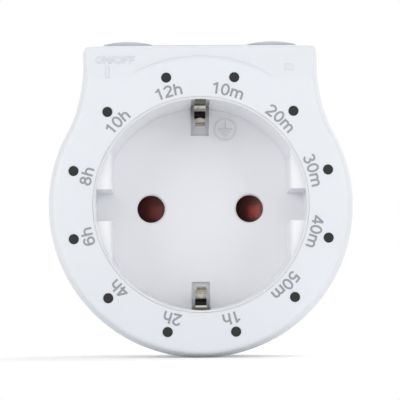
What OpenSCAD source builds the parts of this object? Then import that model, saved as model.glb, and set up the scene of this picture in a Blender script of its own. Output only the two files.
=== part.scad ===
// Plug-in countdown timer with an earthed round socket in its face.
// X points right, Z points up, and the plug pins point along +Y.
// The origin is the centre of the plug's end face, between the pins.
// Inside the modules a depth d is measured backwards from the front face.

/* [Housing] */
// Radius of the round housing
housing_r = 28.5; // [28.4:0.1:31]
// Depth from the front face to the face that meets the wall socket
housing_depth = 41; // [41:0.5:48]
// Wall thickness of the two housing shells
wall = 2; // [1.6:0.1:2.2]
// Depth of the parting line between the two shells
split_depth = 21; // [20.5:0.5:23]
// Half width of the shoulder block where it is narrowest
shoulder_half_w = 21.9; // [21.6:0.1:22.4]
// Height of the shoulder's top above the socket axis
shoulder_top = 29.9; // [29.6:0.1:30.6]
// Radius of the hollow flanks that join the shoulder to the round body
flank_r = 30; // [27:0.5:34]
// Radius of the shoulder's two top corners
corner_r = 1.3; // [1:0.1:2.4]
// Height by which the shoulder's top falls away at its ends
crown = 0.2; // [0.15:0.05:0.6]
// Radius of the rounded front edge
front_edge_r = 0.9; // [0.8:0.1:1.2]
// Width of the sloping rim outside the rounded front edge
rim_slope = 0.7; // [0.5:0.1:1]
// Depth at which the sloping rim reaches the full radius
rim_depth = 4; // [3:0.5:6]
// Radius of the rounded back edge
back_edge_r = 3; // [2:0.1:3.5]
// Depth by which the shoulder's top edge lies behind the face
shoulder_drop = 1.5; // [1:0.1:1.7]
// Height at which the shoulder starts to fall back from the face
drop_z = 23.5; // [20:0.5:24.5]

/* [Socket recess] */
// Radius of the recess at its mouth
recess_r = 19.7; // [19.5:0.05:19.8]
// Radius of the recess at its floor
recess_floor_r = 19.3; // [19:0.05:19.4]
// Depth of the recess
recess_depth = 17.5; // [17:0.1:17.8]
// Thickness of the recess floor
floor_t = 2; // [1.6:0.1:2.2]
// Outer radius of the insert's rim in the front face
rim_r = 20.1; // [20.05:0.05:20.3]
// Outer radius of the insert behind the front wall
cup_r = 21.2; // [21:0.05:21.3]
// Distance from the axis to the side ledges
ledge_x = 16.7; // [16.5:0.1:17.2]
// Depth of the side ledges' front ends
ledge_depth = 1.2; // [1:0.1:4]
// Bevel along each ledge's inner edge
ledge_bevel = 0.5; // [0.3:0.1:0.8]
// Width of the keyway in each side ledge
keyway_w = 5.9; // [5.4:0.1:6.2]
// Distance between the two poles
pole_pitch = 19; // [18.8:0.1:19.2]
// Radius of the pin holes
pin_hole_r = 2.65; // [2.6:0.05:2.8]
// Width of the slots for the earth clips
slot_w = 3.45; // [3.2:0.05:4]
// Distance from the axis to the inner ends of the earth slots
slot_in_z = 14.15; // [13.8:0.05:14.6]
// Depth of the pockets in the recess floor round the earth clips
pocket_depth = 1.2; // [0.8:0.1:1.4]

/* [Plug] */
// Length of the plug's spigot
spigot_len = 17; // [16:0.5:18]
// Radius of the plug's spigot
spigot_r = 18.6; // [18.2:0.1:18.8]
// Distance from the axis to the spigot's side flats
spigot_flat_x = 16.4; // [16.2:0.1:16.5]
// Width of the key rib on each side flat
key_rib_w = 5.3; // [4.8:0.1:5.4]
// Thickness of the spigot's end wall
end_wall = 3; // [2.5:0.1:3.5]
// Radius of the plug pins
pin_r = 2.4; // [2.35:0.05:2.45]
// Length of the plug pins in front of the spigot
pin_len = 19; // [18:0.5:19.5]
// Distance from the axis to the outside of the earth straps
strap_out_z = 17; // [16.8:0.1:17.2]
// Thickness of the earth straps
strap_t = 0.8; // [0.6:0.1:1]
// Width of the earth straps
strap_w = 4.4; // [4:0.1:4.6]

/* [Earth clips] */
// Width of each clip's spring leaf
leaf_w = 2.2; // [1.8:0.1:2.6]
// Thickness of each clip's spring leaf
leaf_t = 0.5; // [0.4:0.05:0.6]
// Distance from the axis to the clip's nose
nose_z = 15.6; // [15.4:0.1:15.8]
// Depth of the clip's nose
nose_depth = 9; // [8:0.5:11]
// Depth of the clip's front tip
tip_depth = 3; // [2.6:0.1:4]
// Distance from the axis to the clip's front tip
tip_z = 18.9; // [18.4:0.1:19.1]

/* [Indicators] */
// Number of indicator windows
led_count = 12; // [10:2:14]
// Distance from the ring of windows to the housing's edge
led_inset = 4; // [3.8:0.1:4.3]
// Radius of each window
window_r = 0.93; // [0.8:0.01:1.1]
// Thickness of the indicator board
led_board_t = 1.2; // [1:0.1:1.6]
// Depth of the indicator board's front side
led_board_depth = 4; // [3.9:0.1:4.4]

/* [Buttons] */
// Distance of each button from the middle
button_x = 13.6; // [13.4:0.1:13.8]
// Depth of the button centres
button_depth = 10; // [10:0.1:11]
// Radius of each button
button_r = 4.65; // [4.3:0.05:4.95]
// Height of the button tops above the shoulder
button_proud = 1.55; // [1.3:0.05:2.2]
// Radius of the buttons' domes
dome_r = 17; // [11:0.5:24]
// Travel of each button
button_travel = 0.5; // [0.3:0.05:0.5]
// Half width of the grey button surround
bezel_half_w = 19.2; // [19:0.1:19.3]
// Height of the button surround above the shoulder
bezel_proud = 0.25; // [0.2:0.05:0.8]
// Depth of the button surround's front edge
bezel_front = 4; // [3.8:0.1:4.4]
// Depth of the button surround's back edge
bezel_back = 17; // [16.4:0.1:18]

/* [Electronics] */
// Height of the main board's underside above the axis
board_z = 21.5; // [21.5:0.05:21.6]
// Thickness of the main board
board_t = 1.2; // [1:0.1:1.4]
// Half width of the main board's front part
board_half_w = 18.6; // [18.2:0.1:18.8]
// Height of the push switches' bodies
switch_h = 3.3; // [3:0.05:3.35]
// Side of the push switches' square bodies
switch_side = 6; // [5.6:0.1:6.4]
// Length of the relay
relay_len = 18.2; // [17.6:0.1:18.2]
// Width of the relay
relay_w = 10.2; // [10:0.1:10.4]
// Height of the relay
relay_h = 15.2; // [15:0.1:15.3]
// Angle through which the relay's armature closes
armature_angle = 4; // [3:0.5:4.5]

/* [Shutter] */
// Travel of the child-safety shutter
shutter_travel = 6; // [5.8:0.1:6.2]
// Thickness of the shutter
shutter_t = 4.2; // [4:0.1:4.3]
// Half height of the shutter
shutter_half_h = 4.9; // [4.5:0.1:5]
// Wire radius of the shutter's spring
spring_wire_r = 0.2; // [0.15:0.01:0.25]
// Coil radius of the shutter's spring
spring_coil_r = 1.35; // [1.2:0.05:1.6]
// Turns of the shutter's spring
spring_turns = 8; // [6:1:9]

/* [Screws] */
// Shank radius of the housing screws
screw_r = 1.3; // [1.1:0.05:1.4]
// Head radius of the housing screws
screw_head_r = 2.3; // [2.1:0.05:2.35]

/* [Hidden] */
$fn = 72;

// Clearances between pieces
slip = 0.1;
seam = 0.03;
touch = 0.02;
button_gap = 0.15;
over = 1;

// Places along Y
face_y = -(housing_depth + spigot_len);
cup_back = recess_depth + floor_t;
led_ring_r = housing_r - led_inset;
pin_seat = housing_depth + spigot_len - end_wall;
pole_x = pole_pitch / 2;

// The flanks cut a hair into the round body, so that the surfaces cross
flank_sink = 0.12;
flank_x = shoulder_half_w + flank_r;
flank_z = sqrt(pow(housing_r + flank_r - flank_sink, 2) - flank_x * flank_x);
block_half_w = (housing_r * flank_x) / (housing_r + flank_r) + 0.3;
crown_x = 16.5;
crown_rise = 0.05;
corner_x = shoulder_half_w - corner_r;
corner_z = shoulder_top - crown - corner_r;

// Front wall of the shoulder, which is set back from the round face
shoulder_wall = wall + shoulder_drop;
cavity_back = housing_depth - wall;
cavity_top = shoulder_top - crown - wall;
block_lift = 0.03;

// Bezel and buttons
bezel_z = shoulder_top + bezel_proud;
bezel_end = 1.2;
board_top = board_z + board_t;
stem_z = board_top + switch_h + button_travel + 0.3;
button_top = shoulder_top + button_proud;
flange_t = 0.6;
flange_r = button_r + 0.4;
hook_w = 1;
bezel_under = stem_z + touch + flange_t + 0.05;
stem_r = 1.7;

// Shutter and contacts
shutter_front = cup_back + 0.2;
shutter_back = shutter_front + shutter_t;
ramp_half = pin_hole_r + 0.25;
pass_r = pin_hole_r + slip;
shutter_left = -pole_x - shutter_travel - pass_r - 0.65;
shutter_right = pole_x + ramp_half + 1.9;
guide_gap = 0.15;
rail_t = 1;
carrier_plate = shutter_back + 0.2;
carrier_back = carrier_plate + 1.8;
carrier_half_w = 17;
stop_t = 1;
stop_x = housing_r - wall - 0.9 - stop_t;
spring_depth = (shutter_front + shutter_back) / 2;
tower_len = 7;
contact_in_r = pin_r + 0.08;
contact_out_r = contact_in_r + 0.7;
tower_in_r = contact_out_r + 0.25;
tower_out_r = tower_in_r + 0.95;
contact_back = recess_depth + pin_len + 0.4;
ear = [9, 8.8];
ear_r = 2.5;
carrier_screw_r = 1;
carrier_screw_head_r = 1.8;

// Metal strips beside the contacts
strip_x = pole_x + tower_out_r - 0.7;
strip_t = 0.7;
strip_half_h = 2;
tab_front = carrier_back + tower_len + 0.5;
tab_back = tab_front + 2;
feed_back = cavity_back - 0.3;
feed_front = feed_back - 1.3;
pin_flange_t = 1.4;
pin_root_r = pin_r + 0.3;
eye_t = 0.8;
eye_back = pin_seat - pin_flange_t - touch;
eye_front = eye_back - eye_t;
rivet_t = 0.7;

// Earth straps and clips
strap_in_z = strap_out_z - strap_t;
strap_front = cup_back + 0.6;
strap_end = pin_seat + 1;
link_front = cavity_back - 1.1;
clip_back = strap_front + 3;
leaf_gap = 0.15;
leaf_seat_z = strap_in_z - leaf_t - touch;
slot_out_z = recess_r + 0.3;
mouth_bevel = 0.25;

// Relay, hung from the main board beside the earth strap
relay_x = strap_w / 2 + 0.4 + relay_w / 2;
relay_front = cup_back + 0.5;
relay_mid = relay_front + relay_len / 2;
relay_wall = 0.7;
relay_base_t = 1.4;
coil_y = -relay_len / 2 + 5.9;
yoke_t = 0.8;
yoke_y = -relay_len / 2 + relay_wall + 0.1;
pole_z = relay_h - 3.7;
hinge_z = pole_z + 0.1 + yoke_t / 2 + 0.05;
hinge_y = yoke_y + yoke_t / 2;
coil_r = 4.05;
contact_y = relay_len / 2 - 4.1;
terminals = [[-2.5, -6.4], [2.5, -6.4], [-2.5, 3.4], [2.5, 3.4], [0, 7]];

// Lead positions of the parts on the main board
film_x = -strap_w / 2 - 1 - 2.5;
film_size = [5, 13, 9.8];
film_mid = cup_back + 1 + film_size[1] / 2;
cap_r = 2.5;
cap_h = 9.8;
cap_x = film_x - film_size[0] / 2 - 0.3 - cap_r;
cap_mid = cup_back + 2 + cap_r;
varistor_r = 3.5;
varistor_t = 3.2;
varistor_mid = cap_mid + cap_r + 1.5 + varistor_r;
lead_r = 0.3;
lead_hole_r = lead_r + 0.1;
lead_through = 0.8;
rear_board_half_w = 14.7;
board_front = led_board_depth + led_board_t + 0.8;
board_step = split_depth - 2;
board_back = cavity_back - 0.7;
resistor_r = 1.15;
resistor_len = 6.2;
resistor_span = 10;
resistor_x = 7.2;
resistor_mid = [cup_back + 1.2, cup_back + 5.4];
diode_r = 1.2;
diode_len = 5;
diode_span = 9;
diode_x = 5.5;
diode_mid = [button_depth + switch_side / 2 + diode_r + 2.6, board_back - 4];
fuse_r = 1.9;
fuse_len = 11;
fuse_span = 15;
fuse_mid = (resistor_mid[1] + diode_mid[1]) / 2;

// Pin header between the two boards
header_pins = 4;
header_pitch = 2.54;
header_z = board_top + 1.25;
header_half = 0.32;
header_back = board_front + 2.6;

// Screws: two through the shoulder, two through the lower housing
boss_r = 2.1;
tower_r = screw_head_r + 0.8;
screw_low_a = 60;
screw_low_r = led_ring_r - 0.3;
screw_high = [shoulder_half_w - wall - boss_r + 0.3, cavity_top - boss_r - 0.05];
screw_low = screw_low_r * [cos(screw_low_a), -sin(screw_low_a)];
screw_sites = [screw_high, [-screw_high[0], screw_high[1]], screw_low, [-screw_low[0], screw_low[1]]];
pilot_r = screw_r - 0.3;
screw_seat = split_depth + 3.5;
screw_len = 9;
screw_head_t = 1.6;

// ---- Placing helpers ----

// A front-view outline, drawn as [x, z], from depth d0 to depth d1
module slab(d0, d1) {
    translate([0, face_y + d1, 0])
        rotate([90, 0, 0])
            linear_extrude(d1 - d0) children();
}

// A profile drawn as [radius, depth], turned about an axis along Y
module spin(x = 0, z = 0) {
    translate([x, face_y, z])
        rotate([-90, 0, 0])
            rotate_extrude() children();
}

// A side-view outline, drawn as [depth, z], of width w centred on x
module side(w, x = 0) {
    translate([x - w / 2, face_y, 0])
        rotate([90, 0, 90])
            linear_extrude(w) children();
}

// A plan-view outline, drawn as [x, depth], from height z0 to z1
module plan(z0, z1) {
    translate([0, face_y, z0]) linear_extrude(z1 - z0) children();
}

// A box from one corner to the other, in [x, depth, z]
module block(low, high) {
    translate([low[0], face_y + low[1], low[2]]) cube(high - low);
}

// A round rod along Y at [x, z] from depth d0 to d1
module rod(r, at, d0, d1) {
    translate([at[0], face_y + d0, at[1]])
        rotate([-90, 0, 0]) cylinder(r = r, h = d1 - d0);
}

// An upright round post at x and depth d, from z0 to z1
module post(r, x, d, z0, z1) {
    translate([x, face_y + d, z0]) cylinder(r = r, h = z1 - z0);
}

// Both sides of the middle plane
module both_sides() {
    children();
    mirror([1, 0, 0]) children();
}

// ---- Outline of the housing ----

// Section of the round front shell, filled to the axis, as [radius, depth]
module front_section() {
    edge = housing_r - rim_slope - front_edge_r;
    polygon([[0, 0], [edge, 0], [edge, front_edge_r], [edge + front_edge_r, front_edge_r],
        [housing_r, rim_depth], [housing_r, split_depth], [0, split_depth]]);
    translate([edge, front_edge_r]) circle(front_edge_r);
}

// Section of the round rear shell
module rear_section() {
    edge = housing_r - back_edge_r;
    back = housing_depth - back_edge_r;
    polygon([[0, split_depth + touch], [housing_r, split_depth + touch], [housing_r, back],
        [edge, back], [edge, housing_depth], [0, housing_depth]]);
    translate([edge, back]) circle(back_edge_r);
}

// What a section turned about a flank's axis takes off the shoulder block
module flank_cut() {
    for (s = [-1, 1]) spin(s * flank_x, flank_z) difference() {
        translate([0, -over])
            square([flank_r + back_edge_r + rim_slope + 3, housing_depth + 2 * over]);
        translate([housing_r + flank_r, 0]) mirror([1, 0]) children();
    }
}

// Front view of the shoulder block: its top falls away towards rounded corners
module block_outline() {
    top = shoulder_top - crown;
    crest = shoulder_top + crown_rise;
    polygon([[-crown_x, crest], [crown_x, crest], [corner_x, top],
        [corner_x, corner_z], [block_half_w, corner_z], [block_half_w, 0],
        [-block_half_w, 0], [-block_half_w, corner_z], [-corner_x, corner_z], [-corner_x, top]]);
    for (s = [-1, 1]) translate([s * corner_x, corner_z]) circle(corner_r);
}

// Side view of the block's front: it leans back and its top edge is rounded
module front_block_section() {
    r = front_edge_r;
    polygon([[block_lift, 0], [block_lift, drop_z], [shoulder_drop, shoulder_top - r],
        [shoulder_drop + r, shoulder_top - r], [shoulder_drop + r, shoulder_top],
        [split_depth, shoulder_top], [split_depth, 0]]);
    translate([shoulder_drop + r, shoulder_top - r]) circle(r);
}

module rear_block_section() {
    r = back_edge_r;
    back = housing_depth;
    polygon([[split_depth + touch, 0], [split_depth + touch, shoulder_top], [back - r, shoulder_top],
        [back - r, shoulder_top - r], [back, shoulder_top - r], [back, 0]]);
    translate([back - r, shoulder_top - r]) circle(r);
}

// Front view of the room inside walls of thickness t
module room(t) {
    circle(housing_r - t);
    difference() {
        translate([-block_half_w, 0]) square([2 * block_half_w, shoulder_top - crown - t]);
        for (s = [-1, 1]) translate([s * flank_x, flank_z]) circle(flank_r + t);
    }
}

module cavity(front, back) {
    slab(front, back) room(wall);
}

module screw_holes(r, d0, d1) {
    for (s = screw_sites) rod(r, s, d0, d1);
}

// ---- Housing ----

module front_shell() {
    spin() front_section();
    difference() {
        intersection() {
            side(2 * block_half_w) front_block_section();
            slab(0, split_depth + over) block_outline();
        }
        flank_cut() front_section();
    }
}

module front_cover() {
    color("whitesmoke") union() {
        difference() {
            front_shell();
            spin() translate([0, wall]) square([housing_r - wall, split_depth]);
            cavity(shoulder_wall, split_depth + over);
            rod(rim_r + seam, [0, 0], -over, wall + over);
            for (a = window_angles())
                rod(window_r + touch, led_ring_r * [cos(a), sin(a)], -over, wall + over);
            block([-bezel_half_w - slip, bezel_front - slip, cavity_top - over],
                [bezel_half_w + slip, bezel_back + slip, shoulder_top + over]);
        }
        both_sides() {
            // shelves under the main board
            intersection() {
                block([board_half_w - 1, board_front + 1, board_z - 1.1 - touch],
                    [block_half_w + housing_r, split_depth, board_z - touch]);
                cavity_filler();
            }
            screw_boss(screw_low, wall, 0.6);
            screw_boss(screw_high, bezel_back + 0.4, 0);
        }
        // posts that carry the indicator board
        for (a = [0:60:180]) rod(1, led_ring_r * [cos(a), sin(a)], wall - touch, led_board_depth - touch);
    }
}

// The room inside the front shell, a little into its walls
module cavity_filler() {
    slab(wall, split_depth) room(wall - 0.3);
}

// A boss for a housing screw, joined to the nearest wall
module screw_boss(at, front, web) {
    intersection() {
        difference() {
            union() {
                rod(boss_r, at, front - touch, split_depth);
                if (web > 0) boss_web(at, front, web);
            }
            rod(pilot_r, at, split_depth - 8, split_depth + over);
        }
        cavity_filler();
    }
}

// The rib between a boss and the round wall
module boss_web(at, front, half) {
    slab(front - touch, split_depth)
        rotate(atan2(at[1], at[0]))
            translate([norm(at), -half]) square([housing_r - norm(at), 2 * half]);
}

module rear_shell() {
    spin() rear_section();
    difference() {
        intersection() {
            side(2 * block_half_w) rear_block_section();
            slab(split_depth - over, housing_depth + over) block_outline();
        }
        flank_cut() rear_section();
    }
}

module spigot_outline() {
    difference() {
        circle(spigot_r);
        for (s = [-1, 1]) {
            translate([s * (spigot_flat_x + spigot_r), 0]) square(2 * spigot_r, center = true);
            translate([0, s * (strap_in_z - touch + strap_w)])
                square([strap_w + 1.8, 2 * strap_w], center = true);
        }
    }
    intersection() {
        circle(spigot_r);
        square([2 * spigot_r, key_rib_w], center = true);
    }
}

module rear_cover() {
    color("whitesmoke") difference() {
        union() {
            difference() {
                rear_shell();
                cavity(split_depth, cavity_back);
            }
            intersection() {
                screw_holes(tower_r, split_depth + touch, cavity_back + touch);
                slab(split_depth, housing_depth) room(wall - 0.3);
            }
            intersection() {
                slab(housing_depth - 0.5, housing_depth + spigot_len) spigot_outline();
                spin() polygon([[0, 0], [spigot_r, 0], [spigot_r, housing_depth + spigot_len - 0.8],
                    [spigot_r - 0.8, housing_depth + spigot_len], [0, housing_depth + spigot_len]]);
            }
        }
        // hollow of the spigot, with thick sides behind its flats and grooves
        slab(cavity_back - touch, pin_seat) intersection() {
            circle(spigot_r - 2.2);
            square([2 * (spigot_flat_x - 2), 2 * (strap_in_z - 2.3)], center = true);
        }
        screw_holes(screw_r + slip, split_depth - over, screw_seat + over);
        screw_holes(screw_head_r + slip, screw_seat, housing_depth + over);
        both_sides() rod(pin_root_r + touch, [pole_x, 0], pin_seat - over, housing_depth + spigot_len + over);
        for (s = [-1, 1]) slab(cavity_back - over, housing_depth + over)
            translate([-strap_w / 2 - slip, s > 0 ? strap_in_z - touch : -strap_out_z - touch])
                square([strap_w + 2 * slip, strap_t + 2 * touch]);
    }
}

// ---- Socket insert ----

// A slot in the recess wall that ends in a pocket in the floor, where the leaf comes through
module earth_slot(s) {
    slab(wall + touch, recess_depth + pocket_depth)
        translate([-slot_w / 2, s > 0 ? slot_in_z : -slot_out_z])
            square([slot_w, slot_out_z - slot_in_z]);
    slab(recess_depth, cup_back + over)
        translate([-leaf_w / 2 - leaf_gap, s > 0 ? leaf_seat_z - leaf_gap : -strap_in_z - leaf_gap])
            square([leaf_w + 2 * leaf_gap, leaf_t + 2 * leaf_gap]);
}

module socket_insert() {
    color("gainsboro") difference() {
        union() {
            difference() {
                spin() polygon([[0, touch], [rim_r, touch], [rim_r, wall + touch],
                    [cup_r, wall + touch], [cup_r, cup_back], [0, cup_back]]);
                spin() polygon([[0, 0], [recess_r + mouth_bevel, 0], [recess_r + mouth_bevel, touch],
                    [recess_r, mouth_bevel + touch], [recess_floor_r, recess_depth], [0, recess_depth]]);
            }
            // side ledges that guide the plug's flats
            both_sides() intersection() {
                plan(-recess_r, recess_r) polygon([[ledge_x + ledge_bevel, ledge_depth],
                    [recess_r + 0.3, ledge_depth], [recess_r + 0.3, recess_depth + touch],
                    [ledge_x, recess_depth + touch], [ledge_x, ledge_depth + ledge_bevel]]);
                spin() square([recess_r + 0.3, cup_back]);
            }
            for (s = [-1, 1]) rod(ear_r, s * [-ear[0], ear[1]], recess_depth + touch, cup_back + 3);
        }
        both_sides() {
            block([ledge_x - 1, ledge_depth - touch, -keyway_w / 2],
                [recess_r + 0.15, recess_depth, keyway_w / 2]);
            rod(pin_hole_r, [pole_x, 0], recess_depth - over, cup_back + over);
            translate([pole_x, face_y + recess_depth - touch, 0])
                rotate([-90, 0, 0]) cylinder(r1 = pin_hole_r + 0.35, r2 = pin_hole_r - touch, h = 0.4);
        }
        for (s = [-1, 1]) earth_slot(s);
        for (s = [-1, 1])
            rod(carrier_screw_r - 0.2, s * [-ear[0], ear[1]], recess_depth + 0.8, cup_back + 3 + over);
    }
}

// ---- Indicators ----

function window_angles() = [for (i = [0:led_count - 1]) 90 - 180 / led_count - 360 * i / led_count];

module led_windows() {
    color("dimgray") for (a = window_angles())
        spin(led_ring_r * cos(a), led_ring_r * sin(a))
            polygon([[0, 0.06], [window_r, 0.06], [window_r, wall + touch],
                [window_r + 0.5, wall + touch], [window_r + 0.5, wall + 1], [0, wall + 1]]);
}

module leds() {
    color("lemonchiffon") for (a = window_angles())
        slab(wall + 1.15, led_board_depth - touch)
            rotate(a) translate([led_ring_r, 0]) square([1.25, 2], center = true);
}

module led_board() {
    color("seagreen") difference() {
        slab(led_board_depth, led_board_depth + led_board_t) difference() {
            circle(housing_r - wall - 0.5);
            circle(cup_r + 0.4);
            for (s = [screw_low, [-screw_low[0], screw_low[1]]]) {
                translate(s) circle(boss_r + 0.3);
                rotate(atan2(s[1], s[0])) translate([screw_low_r, -0.9]) square([5, 1.8]);
            }
        }
        header_holes() rod(header_half + 0.17, [0, header_z], led_board_depth - over,
            led_board_depth + led_board_t + over);
    }
}

module header_holes() {
    for (i = [0:header_pins - 1])
        translate([(i - (header_pins - 1) / 2) * header_pitch, 0, 0]) children();
}

module board_header() {
    color("dimgray") union() {
        block([-header_pins * header_pitch / 2, led_board_depth + led_board_t + touch, board_top + touch],
            [header_pins * header_pitch / 2, header_back - 0.6, header_z + 1.25]);
        header_holes() {
            block([-header_half, led_board_depth - 0.6, header_z - header_half],
                [header_half, header_back + 2 * header_half, header_z + header_half]);
            block([-header_half, header_back, cup_r + slip],
                [header_half, header_back + 2 * header_half, header_z]);
        }
    }
}

// ---- Buttons and push switches ----

module button_bezel() {
    color("lightsteelblue") difference() {
        union() {
            slab(bezel_front, bezel_back) polygon([[-bezel_half_w, bezel_under],
                [bezel_half_w, bezel_under], [bezel_half_w, shoulder_top - crown],
                [bezel_half_w - bezel_end, bezel_z], [bezel_end - bezel_half_w, bezel_z],
                [-bezel_half_w, shoulder_top - crown]]);
            // hooks that snap under the housing's top wall
            both_sides() for (d = [bezel_front, bezel_back - hook_w]) {
                block([bezel_half_w - 1, d, cavity_top - 0.8],
                    [bezel_half_w, d + hook_w, bezel_under + touch]);
                block([bezel_half_w - touch, d, cavity_top - 0.8],
                    [bezel_half_w + 0.5, d + hook_w, cavity_top - touch]);
            }
        }
        both_sides() post(button_r + button_gap, button_x, button_depth, bezel_under - over, bezel_z + over);
        bezel_underside();
    }
}

// The plain middle and ends of the surround are hollow underneath
module bezel_underside() {
    block([-button_x + flange_r + 1.2, bezel_front + 1.2, bezel_under - over],
        [button_x - flange_r - 1.2, bezel_back - 1.2, bezel_z - 1.2]);
}

// A domed button: r and z profile turned about the vertical
module push_button(x) {
    dome_drop = dome_r - sqrt(dome_r * dome_r - button_r * button_r);
    translate([x, face_y + button_depth, 0]) rotate_extrude() intersection() {
        translate([0, stem_z + touch]) square([flange_r, button_top - stem_z]);
        union() {
            square([flange_r, stem_z + touch + flange_t]);
            intersection() {
                square([button_r, button_top]);
                translate([0, button_top - dome_r]) circle(dome_r);
            }
            square([button_r, button_top - dome_drop - 0.3]);
        }
    }
}

module on_off_button() {
    color("lightslategray") push_button(-button_x);
}

module timer_button() {
    color("lightslategray") push_button(button_x);
}

module push_switch(x) {
    half = switch_side / 2;
    difference() {
        block([x - half, button_depth - half, board_top + touch],
            [x + half, button_depth + half, board_top + switch_h]);
        post(stem_r + 0.08, x, button_depth, board_top + 1.2, board_top + switch_h + over);
    }
}

module on_off_switch() {
    color("darkslategray") push_switch(-button_x);
}

module timer_switch() {
    color("darkslategray") push_switch(button_x);
}

module stem(x) {
    post(stem_r, x, button_depth, board_top + 1.2 + button_travel + 0.1, stem_z);
}

module on_off_stem() {
    color("white") stem(-button_x);
}

module timer_stem() {
    color("white") stem(button_x);
}

// ---- Boards ----

module board_outline() {
    translate([-board_half_w, board_front]) square([2 * board_half_w, board_step - board_front]);
    translate([-rear_board_half_w, board_front])
        square([2 * rear_board_half_w, board_back - board_front]);
}

module main_board() {
    color("seagreen") difference() {
        translate([0, face_y, board_z]) linear_extrude(board_t) board_outline();
        header_holes()
            post(header_half + 0.2, 0, header_back + header_half, board_z - over, board_top + over);
        relay_frame() for (t = terminals)
            translate([t[0], t[1], -board_t - over]) cylinder(r = 0.55, h = board_t + 2 * over);
        board_leads() lead_hole();
        strip_tabs(slip);
    }
}

// A hole for one lead, centred on the board
module lead_hole() {
    translate([0, 0, board_z - over]) cylinder(r = lead_hole_r, h = board_t + 2 * over);
}

module lead_at(x, d) {
    translate([x, face_y + d, 0]) children();
}

// Every place where a lead of a board part goes through
module board_leads() {
    film_leads() children();
    cap_leads() children();
    varistor_leads() children();
    axial_leads(0, [fuse_mid], fuse_span) children();
    axial_leads(resistor_x, resistor_mid, resistor_span) children();
    axial_leads(-resistor_x, resistor_mid, resistor_span) children();
    axial_leads(diode_x, diode_mid, diode_span) children();
    axial_leads(-diode_x, diode_mid, diode_span) children();
}

module film_leads() {
    for (s = [-1, 1]) lead_at(film_x, film_mid + s * 4.6) children();
}

module cap_leads() {
    for (s = [-1, 1]) lead_at(cap_x, cap_mid + s) children();
}

module varistor_leads() {
    for (s = [-1, 1]) lead_at(cap_x, varistor_mid + s * 2.5) children();
}

module axial_leads(x, mids, span) {
    for (d = mids, s = [-1, 1]) lead_at(x + s * span / 2, d) children();
}

// A straight lead that goes up through the board from z0
module lead(z0) {
    translate([0, 0, z0]) cylinder(r = lead_r, h = board_top + lead_through - z0);
}

module film_capacitor() {
    color("goldenrod") union() {
        block([film_x - film_size[0] / 2, film_mid - film_size[1] / 2, board_z - film_size[2] - touch],
            [film_x + film_size[0] / 2, film_mid + film_size[1] / 2, board_z - touch]);
        film_leads() lead(board_z - 0.5);
    }
}

module smoothing_capacitor() {
    color("midnightblue") union() {
        lead_at(cap_x, cap_mid) translate([0, 0, board_z - cap_h - touch])
            rotate_extrude() polygon([[0, 0], [cap_r - 0.3, 0], [cap_r, 0.3], [cap_r, cap_h - 1.8],
                [cap_r - 0.3, cap_h - 1.5], [cap_r, cap_h - 1.2], [cap_r, cap_h], [0, cap_h]]);
        cap_leads() lead(board_z - 0.5);
    }
}

module varistor() {
    color("royalblue") union() {
        translate([cap_x - varistor_t / 2, face_y + varistor_mid, board_z - varistor_r - 0.4])
            rotate([0, 90, 0]) cylinder(r = varistor_r, h = varistor_t);
        varistor_leads() lead(board_z - varistor_r);
    }
}

// Parts with a lead at each end, lying across the board: r is the body's radius.
// Their leads are cut flush, because other parts hang below them.
module axial(x, mids, span, r, body_len) {
    for (d = mids) {
        z = board_top + r + touch;
        translate([x - body_len / 2, face_y + d, z])
            rotate([0, 90, 0]) cylinder(r = r, h = body_len);
        translate([x - span / 2 - lead_r, face_y + d, z])
            rotate([0, 90, 0]) cylinder(r = lead_r, h = span + 2 * lead_r);
        axial_leads(x, [d], span) translate([0, 0, board_z + 0.1])
            cylinder(r = lead_r, h = z - board_z - 0.1);
    }
}

module fuse_resistor() {
    color("darkseagreen") axial(0, [fuse_mid], fuse_span, fuse_r, fuse_len);
}

module resistors() {
    color("tan") for (s = [-1, 1])
        axial(s * resistor_x, resistor_mid, resistor_span, resistor_r, resistor_len);
}

module rectifier_diodes() {
    color("black") for (s = [-1, 1]) axial(s * diode_x, diode_mid, diode_span, diode_r, diode_len);
}

module controller_chip() {
    pins = 4;
    pitch = 1.27;
    chip_mid = button_depth + 2.3;
    color("black") union() {
        block([-2.5, chip_mid - 2, board_top + 0.15], [2.5, chip_mid + 2, board_top + 1.6]);
        for (i = [0:pins - 1], s = [-1, 1]) {
            x = (i - (pins - 1) / 2) * pitch;
            block([x - 0.2, chip_mid + s * 2.6 - 0.6, board_top + touch],
                [x + 0.2, chip_mid + s * 2.6 + 0.6, board_top + 0.25]);
            block([x - 0.2, chip_mid + s * 2.2 - 0.25, board_top + touch],
                [x + 0.2, chip_mid + s * 2.2 + 0.25, board_top + 0.8]);
        }
    }
}

// ---- Shutter and contacts ----

module shutter() {
    color("brown") union() {
        difference() {
            block([shutter_left, shutter_front, -shutter_half_h],
                [shutter_right, shutter_back, shutter_half_h]);
            for (x = [-pole_x, pole_x]) {
                rod(pass_r, [x - shutter_travel, 0], shutter_front - over, shutter_back + over);
                plan(-ramp_half, ramp_half)
                    polygon([[x - shutter_travel, shutter_front - over],
                        [x + ramp_half, shutter_front - over],
                        [x + ramp_half, shutter_front], [x - ramp_half, shutter_back - 0.5],
                        [x - shutter_travel, shutter_back - 0.5]]);
            }
        }
        translate([shutter_right - touch, face_y + spring_depth, 0])
            rotate([0, 90, 0]) cylinder(r = spring_coil_r - spring_wire_r - 0.35, h = 1.5);
    }
}

// One point of the spring's wire: share t along it, angle a round the wire
function coil_point(t, a) = let (
    turn = 360 * spring_turns * t,
    x = shutter_right + spring_wire_r + t * (stop_x - shutter_right - 2 * spring_wire_r),
    r = spring_coil_r + spring_wire_r * cos(a))
    [x + spring_wire_r * sin(a), face_y + spring_depth + r * cos(turn), r * sin(turn)];

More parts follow.
